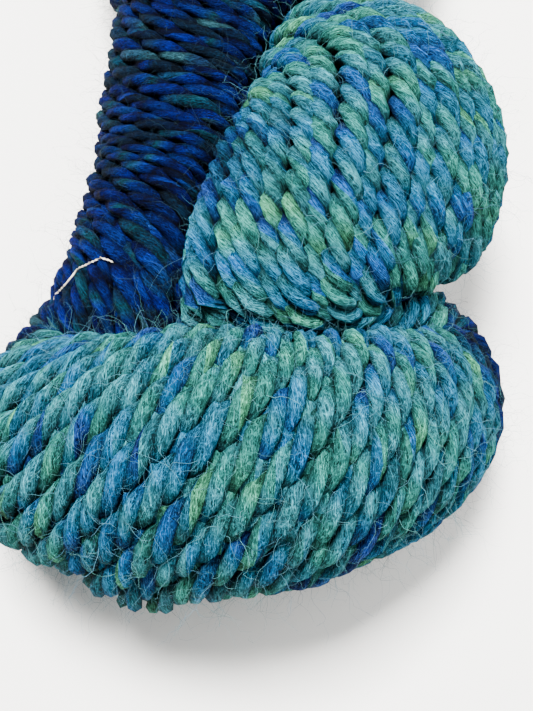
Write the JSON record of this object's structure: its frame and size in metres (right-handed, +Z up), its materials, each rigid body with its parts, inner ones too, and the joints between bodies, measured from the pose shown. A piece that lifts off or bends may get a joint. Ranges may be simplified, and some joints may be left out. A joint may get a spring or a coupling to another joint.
{
  "type": "hank of yarn",
  "caption": "Twisted hank of bulky plied wool yarn lying on its side, its two fat legs laid round each other, with a thin cotton tie thread.",
  "frame": {"origin": "centre of the bounding box, at the surface that the hank lies on", "axes": "+X across the hank to the right, +Y along its length from the near end to the far end, +Z up"},
  "size_m": [0.1394, 0.2682, 0.0815],
  "materials": {
    "wool": "hand-dyed plied wool with a soft halo of fibres, teal, green and blue, with one stretch of navy and royal blue",
    "cotton": "undyed cotton thread"
  },
  "bodies": {
    "root": {"hank": "wool", "tie": "cotton"}
  },
  "joints": []
}
